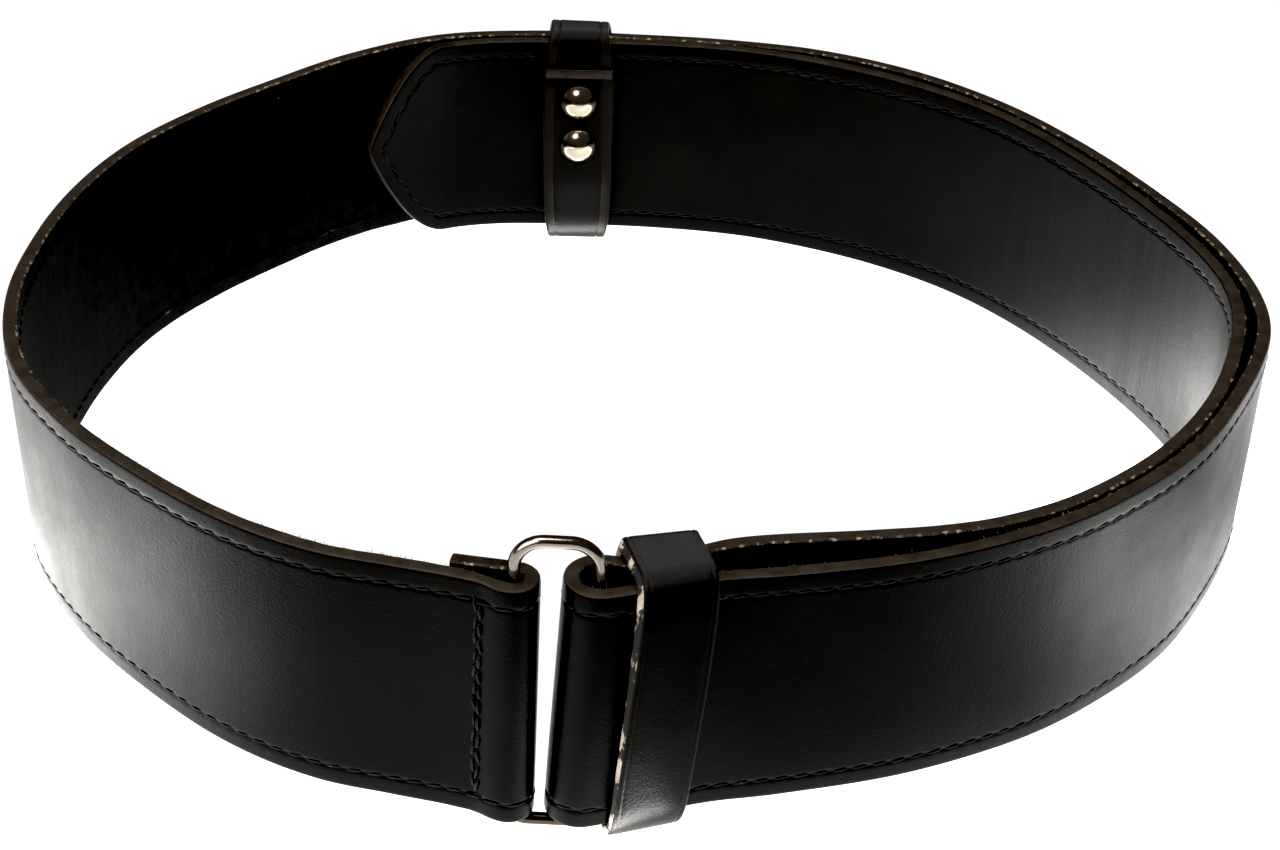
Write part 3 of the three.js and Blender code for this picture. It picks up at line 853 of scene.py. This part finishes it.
# The shoulders' depth, height and power, by face (outer 1, inner -1) and end (upper 1)
keeper_shoulders = {
    (1, 1): (5, 11, 2.3), (1, -1): (5, 11, 2.3), (-1, 1): (3, 8, 3), (-1, -1): (4.6, 9, 2.6),
}
lap_beyond = keeper_beyond + keeper_thickness + lap_gap
lap_root_beyond = lap_beyond - 0.9
lap_end = mid_height - lap_below_edge
stud_rim = 0.5
stud_heights = {
    "upper": lap_end - stud_from_lap_end,
    "lower": lap_end - stud_from_lap_end - stud_spacing,
}


def place_behind(front):
    """The run on the inner layer that lies square behind a place on the outer one."""
    inner = cad_route[cad_route[:, 0] > fold_end - loose_radius]
    gap = inner[:, 1:3] - front[0]
    aside = gap[:, 0] * front[1][1] - gap[:, 1] * front[1][0]
    best = None
    for i in range(len(inner) - 1):
        a, b = aside[i], aside[i + 1]
        if a * b <= 0 and a != b:
            run = inner[i, 0] + (inner[i + 1, 0] - inner[i, 0]) * a / (a - b)
            place = place_at(cad_route, run)
            away = np.linalg.norm(place[0] - front[0])
            if best is None or away < best[0]:
                best = (away, run)
    return best[1]


def hold_of(keeper):
    """Where a keeper holds the strap, outer and inner: place, way across, stand-off."""
    front_run = fold_start - keeper["at"]
    back_run = place_behind(place_at(cad_route, front_run))
    holds = {}
    for side, run, way in ((1, front_run, -1), (-1, back_run, 1)):
        point, out, lean = place_at(cad_route, run)
        reach = (keeper["width"] + keeper["slant"] * strap_width) / 2
        near = place_at(cad_route, run + np.array([-1, -0.5, 0.5, 1]) * reach)
        upper = (near[0] - point) @ out
        lower = (near[0] - point + near[2] - lean) @ out
        towards = left_of(out) * way
        holds[side] = ((point, out, lean), towards, max(0, upper.max(), lower.max()))
    return holds


def keeper_rows():
    """Rows of (side, beyond, up, facing out, facing up, skive) round the keeper's middle skin.

    Soft leather arches over the strap's edges: each corner is a tall superellipse, and the
    outer face, which carries no studs, stands off and swells a little.
    """
    top = mid_height + keeper_slack + keeper_skin
    tail = stud_heights["lower"] - lap_tail
    rows = []

    def beyond(side, up):
        if side < 0:
            return keeper_beyond if up > 0 else lap_root_beyond
        return keeper_beyond + keeper_stand + keeper_swell * (1 - (up / top) ** 2)

    def straight(side, start, end, skives=(0, 0)):
        steps = max(2, int(abs(end[1] - start[1]) / keeper_row_step))
        for t in np.linspace(0, 1, steps, endpoint=False):
            up = start[1] + (end[1] - start[1]) * t
            out = start[0] + (end[0] - start[0]) * eased(t) if side < 0 else beyond(side, up)
            rows.append((side, out, up, side, 0, skives[0] + (skives[1] - skives[0]) * t))

    def corner(side, sign, inward):
        depth, height, power = keeper_shoulders[side, sign]
        shares = np.linspace(0, 1, 14)
        for t in shares if inward else shares[:0:-1]:
            x, y = (f(t * math.pi / 2) ** (2 / power) for f in (math.cos, math.sin))
            x, y = max(x, 0), max(y, 0)
            face = unit(np.array([x ** (power - 1) / depth, y ** (power - 1) / height]))
            out = beyond(side, sign * (top - height)) - depth * (1 - x)
            rows.append((side, out, sign * (top - height * (1 - y)), side * face[0],
                         sign * face[1], 0))

    turns = {key: top - shoulder[1] for key, shoulder in keeper_shoulders.items()}
    straight(-1, (keeper_beyond, tail), (keeper_beyond, turns[-1, 1]))
    corner(-1, 1, True)
    corner(1, 1, False)
    straight(1, (0, turns[1, 1]), (0, -turns[1, -1]))
    corner(1, -1, True)
    corner(-1, -1, False)
    straight(-1, (lap_root_beyond, -turns[-1, -1]), (lap_beyond, tail - keeper_skin))
    straight(-1, (lap_beyond, tail - keeper_skin), (lap_beyond, lap_end - lap_skive))
    straight(-1, (lap_beyond, lap_end - lap_skive), (lap_beyond, lap_end), (0, 1))
    rows.append((-1, lap_beyond, lap_end, -1, 0, 1))
    return np.array(rows, float)


def on_keeper(keeper, holds, across, rows, lift):
    """Points on a keeper: across its width towards the fold, and off its middle skin."""
    side, beyond, up, facing_out, facing_up = rows[:, :5].T
    bend = np.abs(up) / (mid_height + keeper_slack + keeper_thickness)
    along = across * (1 - keeper["pinch"] * bend**4) - keeper["slant"] * up
    points = np.zeros((len(rows), 3))
    for which, (place, towards, standoff) in holds.items():
        m = side == which
        outward = half_strap + standoff + beyond + side * facing_out * lift
        flat = off_place(place, outward[m], up[m] + mid_height)
        flat[:, :2] += towards * along[m, None]
        flat[:, 2] += (facing_up * lift)[m]
        points[m] = flat
    return points + shift


def make_keeper(name, keeper, raw):
    """One closed mesh: rows round the strap, each row across, over the cut edge and back."""
    rows = keeper_rows()
    holds = hold_of(keeper)
    half = keeper["width"] / 2
    crease = keeper["crease"]
    offsets = sorted({
        0, 0.12, 0.3, 0.55, 0.9, crease - 0.35, crease - 0.15, crease, crease + 0.15,
        crease + 0.4, crease + 0.9, crease + 2, half * 0.6, half * 0.8,
    })
    offsets = [e for e in offsets if e < half]
    acrosses = [-(half - e) for e in offsets] + [0] + [half - e for e in offsets[::-1]]
    count = len(rows)
    seed = 50 if name == "front" else 60
    wave = 0.12 * smooth_noise(count, 14, seed)
    columns = []
    kinds = []
    offs = []
    for across in acrosses:
        off = half - abs(across)
        offs.append(off)
        round_off = np.interp(off, [0, 0.12, 0.3, 0.55, 0.9], [0.5, 0.3, 0.14, 0.05, 0])
        line = keeper["mark"] * math.exp(-(((off - crease) / 0.28) ** 2))
        margin = 0.05 * max(0, 1 - off / crease)
        lift = keeper_skin - round_off - line - margin
        lift = lift - rows[:, 5] * keeper_skin
        columns.append(on_keeper(keeper, holds, across + wave, rows, lift))
        kinds.append("grain")
    rough = 0.07 * smooth_noise(count, 1.5, seed + 1) + 0.06 * smooth_noise(count, 4, seed + 2)
    cut = keeper["cut"]
    wear = 0.55 + 0.45 * rows[:, 2] / keeper_wear_height
    for lift in (0.3, -0.35):
        level = lift - rows[:, 5] * max(0, lift)
        slope = cut * (0.3 - lift) / 0.65 * wear
        columns.append(on_keeper(keeper, holds, half + wave + 0.05 + rough + slope, rows, level))
        kinds.append("raw")
    flare = 1.6 * cut * wear
    columns.append(on_keeper(keeper, holds, half + flare + wave, rows,
                             np.full(count, 0.15 - keeper_skin)))
    kinds.append("raw")
    for across in [half - 0.25, half / 2, 0, -half / 2, -half + 0.25, -half]:
        lift = -keeper_skin + (0.15 if across == -half else 0)
        columns.append(on_keeper(keeper, holds, across + wave, rows, np.full(count, lift)))
        kinds.append("flesh")
    for lift in (-0.35, 0.3):
        level = lift - rows[:, 5] * max(0, lift)
        columns.append(on_keeper(keeper, holds, -half + wave - 0.05 - rough, rows, level))
        kinds.append("raw")
    size = len(columns)
    points = np.stack(columns, 1).reshape(-1, 3)
    faces = grid_faces(count, size, outward=-1)
    grain_slot, flesh_slot, raw_slot, margin_highlight_slot = range(4)
    plain = []
    for j in range(size):
        pair = {kinds[j], kinds[(j + 1) % size]}
        if "raw" in pair or "flesh" in pair:
            plain.append(raw_slot if "raw" in pair else flesh_slot)
        else:
            # Faces in the margin band get the lighter leather, a painted highlight.
            in_margin = max(offs[j], offs[j + 1]) <= keeper["margin"]
            plain.append(margin_highlight_slot if in_margin else grain_slot)
    skived = [raw_slot] * size
    slots = sum((skived if row[5] > 0.6 else plain for row in rows[1:]), [])
    faces += [tuple(range(size)), tuple(range((count - 1) * size, count * size))[::-1]]
    slots += [raw_slot, raw_slot]
    materials = [keeper_grain, keeper_flesh, raw, keeper_margin_highlight]
    piece = add_mesh(f"keeper_{name}_leather", points, faces, materials, slots)
    return piece, holds


def make_stud(name, keeper, holds, up):
    """A domed cap, square to the lap under it."""
    def face(rise):
        row = np.array([[-1, lap_beyond, up + rise, -1, 0, 0]], float)
        return on_keeper(keeper, holds, 0, row, np.array([keeper_skin]))[0]

    upward = unit(face(1) - face(-1))
    towards = np.array([*holds[-1][1], 0])
    axis = unit(np.cross(towards, upward))
    if axis[:2] @ holds[-1][0][1] < 0:
        axis = -axis
    across = unit(np.cross(upward, axis))
    radius = stud_diameter / 2
    crown = stud_height - stud_rim
    ball = (radius**2 + crown**2) / (2 * crown)
    angles = np.linspace(math.asin(radius / ball), 0, 18)
    profile = [(radius - 1.4, 0.05), (radius - 0.25, 0.05), (radius - 0.02, 0.25)]
    profile += [
        (ball * math.sin(a), stud_height - ball * (1 - math.cos(a))) for a in angles[:-1]
    ]
    profile += [(0.12, stud_height)]
    sides = 48
    turn = np.linspace(0, 2 * np.pi, sides, endpoint=False)[:, None]
    base = face(0) + axis * seat_gap
    rings = [
        base + axis * h + r * (np.cos(turn) * across + np.sin(turn) * upward)
        for r, h in profile
    ]
    last = (len(rings) - 1) * sides
    faces = grid_faces(len(rings), sides, outward=-1)
    faces += [tuple(range(sides))[::-1], tuple(range(last, last + sides))]
    return add_mesh(name, np.array(rings).reshape(-1, 3), faces, [stud_nickel])


studs = []
keeper_pieces = []
leather_pieces = [strap, grain_stitches, flesh_stitches, flap_seam, flap_seam_inner, fibres]
for name, keeper in keepers.items():
    raw = keeper_raw if name == "front" else keeper_edge
    leather, holds = make_keeper(name, keeper, raw)
    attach(leather, "root")
    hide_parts(f"keeper_{name}")
    leather_pieces.append(leather)
    keeper_pieces.append(leather)
    for level, up in stud_heights.items():
        cap = make_stud(f"cap_{name}_{level}", keeper, holds, up)
        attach(cap, "root")
        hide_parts(f"stud_{name}_{level}")
        studs.append(cap)

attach(strap, "root")
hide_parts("strap")
for piece in (grain_stitches, flesh_stitches, flap_seam, flap_seam_inner, fibres):
    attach(piece, "root")
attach(ring, "root")
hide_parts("ring")

# Floor, light and camera

floor_glow = 0.88
floor_front_glow = 0.6
floor_fade_from = 0.135
floor_fade_over = 0.08
# Painted light: the floor glows brighter along the strap's foot, filling in the belt's shadow
# there.
rim_glow = 1.4
rim_glow_reach = 11
# Painted light: bright patches in the floor's glow, for the leather to mirror as highlights.
floor_patches = [
    # x, y, half width, half depth, glow
    (-0.152, -0.080, 0.038, 0.043, 7.5),
    (-0.118, -0.128, 0.020, 0.018, 2.2),
    (-0.198, -0.030, 0.035, 0.035, 3),
    (-0.062, -0.180, 0.050, 0.040, 0.9),
    (0.162, -0.086, 0.033, 0.041, 4.7),
    (0.108, 0.040, 0.027, 0.033, 8),
    (0.004, -0.150, 0.022, 0.014, 1.5),
    (0.020, 0.050, 0.060, 0.050, 0.6),
    (-0.075, 0.175, 0.040, 0.035, 4),
    (0.110, 0.155, 0.045, 0.035, 3),
    (0.200, 0.050, 0.030, 0.035, 1.5),
]


def make_floor():
    """A pale light table, even to the eye, with painted light in its glow: less of it in front,
    soft bright patches for the leather to mirror, and a brighter band along the strap's foot,
    where the belt's shadow would fall.
    """
    material, nodes, links, shader = new_material("floor")
    shader.inputs["Base Color"].default_value = (0.5, 0.5, 0.49, 1)
    shader.inputs["Roughness"].default_value = 1
    shader.inputs["Specular IOR Level"].default_value = 0
    shader.inputs["Emission Color"].default_value = (1, 0.99, 0.965, 1)
    glow = nodes.new("ShaderNodeAttribute")
    glow.attribute_name = "glow"
    links.new(glow.outputs["Fac"], shader.inputs["Emission Strength"])
    # Square cells, in millimetres: fine near the belt, and wide ones out to the horizon
    near = np.arange(-300, 301, 3)
    line = np.concatenate([[-4000, -1500], near, [1500, 4000]])
    x, y = (grid.ravel() for grid in np.meshgrid(line, line))
    points = np.column_stack([x, y, np.zeros(len(x))])
    size = len(line)
    corners = [i + j * size for j in range(size - 1) for i in range(size - 1)]
    faces = [(k, k + 1, k + 1 + size, k + size) for k in corners]
    floor = add_mesh("floor", points, faces, [material], smooth=False)
    fade = np.clip((-y * MM - floor_fade_from) / floor_fade_over, 0, 1)
    level = floor_glow + (floor_front_glow - floor_glow) * eased(fade)
    for at_x, at_y, half_width, half_depth, strength in floor_patches:
        away = ((x * MM - at_x) / half_width) ** 2 + ((y * MM - at_y) / half_depth) ** 2
        level = level + strength * np.exp(-away)
    foot = on_strap(cad_route[:, 0], np.zeros(len(cad_route)), np.zeros(len(cad_route)))
    close = np.full(len(x), np.inf)
    for foot_x, foot_y, _ in foot:
        close = np.minimum(close, (x - foot_x) ** 2 + (y - foot_y) ** 2)
    level = level + rim_glow * np.exp(-close / rim_glow_reach**2)
    layer = floor.data.attributes.new("glow", "FLOAT", "POINT")
    layer.data.foreach_set("value", level.astype(np.float32))
    return floor


make_floor()

scene = bpy.context.scene
world = bpy.data.worlds.new("studio")
scene.world = world
world.use_nodes = True
sky = world.node_tree.nodes
background = sky["Background"]
background.inputs["Color"].default_value = (1, 0.9, 0.8, 1)
heading = sky.new("ShaderNodeSeparateXYZ")
world.node_tree.links.new(coordinates(sky, "Generated"), heading.inputs["Vector"])
ceiling = sky.new("ShaderNodeMapRange")
world.node_tree.links.new(heading.outputs["Z"], ceiling.inputs["Value"])
for socket, value in (("From Min", 0.1), ("From Max", 1), ("To Min", 0.03), ("To Max", 0.05)):
    ceiling.inputs[socket].default_value = value
world.node_tree.links.new(ceiling.outputs["Result"], background.inputs["Strength"])


def area_light(name, shape, place, size, power, tint):
    """An area light that faces the middle of the belt's foot."""
    data = bpy.data.lights.new(name, "AREA")
    data.shape = shape
    data.size, data.size_y = size
    data.energy = power
    data.color = tint
    light = bpy.data.objects.new(name, data)
    scene.collection.objects.link(light)
    light.location = place
    light.rotation_euler = Vector(place).to_track_quat("Z", "Y").to_euler()
    return light


def light_only(light, pieces):
    """A light that reaches these pieces and no others."""
    reached = bpy.data.collections.new(light.name)
    for piece in pieces:
        reached.objects.link(piece)
    light.light_linking.receiver_collection = reached


umbrella = area_light("umbrella", "DISK", (-0.45, -0.47, 0.42), (0.6, 0.6), 2.8, (1, 0.86, 0.8))
light_only(umbrella, leather_pieces + [ring])
top_light = area_light("top_light", "RECTANGLE", (0.1, 0.15, 1.2), (1.1, 0.7), 6, (1, 0.98, 0.95))
top_light.visible_glossy = False

# A light in front for the edges of the leather, a broad one above for the keepers' arched
# tops, and a small one at the front left for the studs and the ring
front_light = area_light(
    "front_light", "RECTANGLE", (0.15, -0.75, 0.85), (0.9, 0.5), 4, (1, 0.96, 0.92)
)
light_only(front_light, leather_pieces)
crown_light = area_light(
    "crown_light", "RECTANGLE", (0.1, 0.2, 0.9), (1.4, 2), 24, (1, 0.97, 0.93)
)
light_only(crown_light, keeper_pieces)
# Two small ones that shine up from the floor, so that the keepers' feet fade into the white
for name, place, size, power in (
    ("front_foot_light", (0.004, -0.1392, 0.0008), (0.020, 0.0045), 0.011),
    ("back_foot_light", (-0.021, 0.1168, 0.0008), (0.019, 0.0045), 0.009),
):
    foot_light = area_light(name, "RECTANGLE", place, size, power, (1, 0.99, 0.965))
    foot_light.rotation_euler = (math.pi, 0, 0)
    foot_light.visible_camera = False
    light_only(foot_light, keeper_pieces)
stud_light = area_light(
    "stud_light", "DISK", (-0.24, -0.28, 0.85), (0.46, 0.46), 2, (1, 0.78, 0.7)
)
light_only(stud_light, studs + [ring])

# The camera that was fitted to the photograph: metres, degrees and millimetres
camera_place = (0.0000214, -0.5159075, 0.3465922)
camera_down = 32.7315
camera_roll = 2.7807
camera_lens = 69.58
camera = bpy.data.objects.new("camera", bpy.data.cameras.new("camera"))
scene.collection.objects.link(camera)
camera.data.lens = camera_lens
camera.data.sensor_width = 36
camera.data.sensor_fit = "HORIZONTAL"
camera.data.clip_start = 0.01
camera.matrix_world = (
    Matrix.Translation(camera_place)
    @ Matrix.Rotation(math.radians(90 - camera_down), 4, "X")
    @ Matrix.Rotation(math.radians(camera_roll), 4, "Z")
)
scene.camera = camera
scene.view_settings.view_transform = "Standard"
scene.view_settings.use_curve_mapping = True
scene.view_settings.curve_mapping.black_level = (0.0120, 0.0119, 0.0117)
